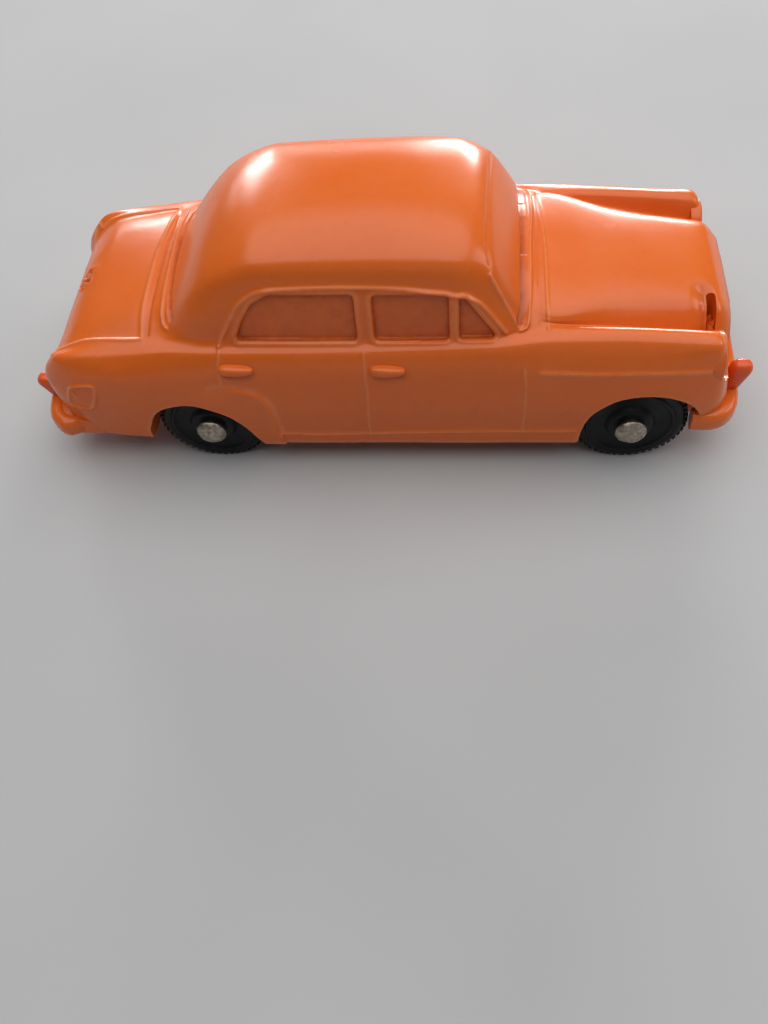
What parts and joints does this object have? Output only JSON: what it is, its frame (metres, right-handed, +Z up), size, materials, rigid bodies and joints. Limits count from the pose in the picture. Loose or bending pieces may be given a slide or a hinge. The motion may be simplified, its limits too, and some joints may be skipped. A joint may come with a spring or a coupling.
{
  "type": "toy car",
  "caption": "Hollow soft-vinyl toy saloon car with moulded trim, black toothed wheels and steel axles with domed heads, free to roll.",
  "frame": {"origin": "centre of the bounding box's foot, on the floor that the wheels stand on", "axes": "+X to the car's front, +Y to its left side, +Z up"},
  "size_m": [0.11, 0.0418, 0.0387],
  "materials": {
    "soft_vinyl": "satin-gloss moulded soft vinyl, self-coloured orange",
    "axle_steel": "dull plated steel with riveted domed heads",
    "wheel_black": "satin black moulded plastic"
  },
  "bodies": {
    "body": {"body_shell": "soft_vinyl"},
    "front_axle": {"front_axle": "axle_steel"},
    "rear_axle": {"rear_axle": "axle_steel"},
    "wheel_front_left": {"wheel_front_left": "wheel_black"},
    "wheel_front_right": {"wheel_front_right": "wheel_black"},
    "wheel_rear_left": {"wheel_rear_left": "wheel_black"},
    "wheel_rear_right": {"wheel_rear_right": "wheel_black"}
  },
  "joints": [
    {"name": "front_axle_spin", "type": "hinge", "parent": "body", "child": "front_axle", "pos_m": [0.0377, 0, 0.0084], "axis": [0, 1, 0], "continuous": true},
    {"name": "wheel_front_left_spin", "type": "hinge", "parent": "front_axle", "child": "wheel_front_left", "pos_m": [0.0377, 0, 0.0084], "axis": [0, 1, 0], "continuous": true},
    {"name": "wheel_front_right_spin", "type": "hinge", "parent": "front_axle", "child": "wheel_front_right", "pos_m": [0.0377, 0, 0.0084], "axis": [0, 1, 0], "continuous": true},
    {"name": "rear_axle_spin", "type": "hinge", "parent": "body", "child": "rear_axle", "pos_m": [-0.0262, 0, 0.0084], "axis": [0, 1, 0], "continuous": true},
    {"name": "wheel_rear_left_spin", "type": "hinge", "parent": "rear_axle", "child": "wheel_rear_left", "pos_m": [-0.0262, 0, 0.0084], "axis": [0, 1, 0], "continuous": true},
    {"name": "wheel_rear_right_spin", "type": "hinge", "parent": "rear_axle", "child": "wheel_rear_right", "pos_m": [-0.0262, 0, 0.0084], "axis": [0, 1, 0], "continuous": true}
  ]
}
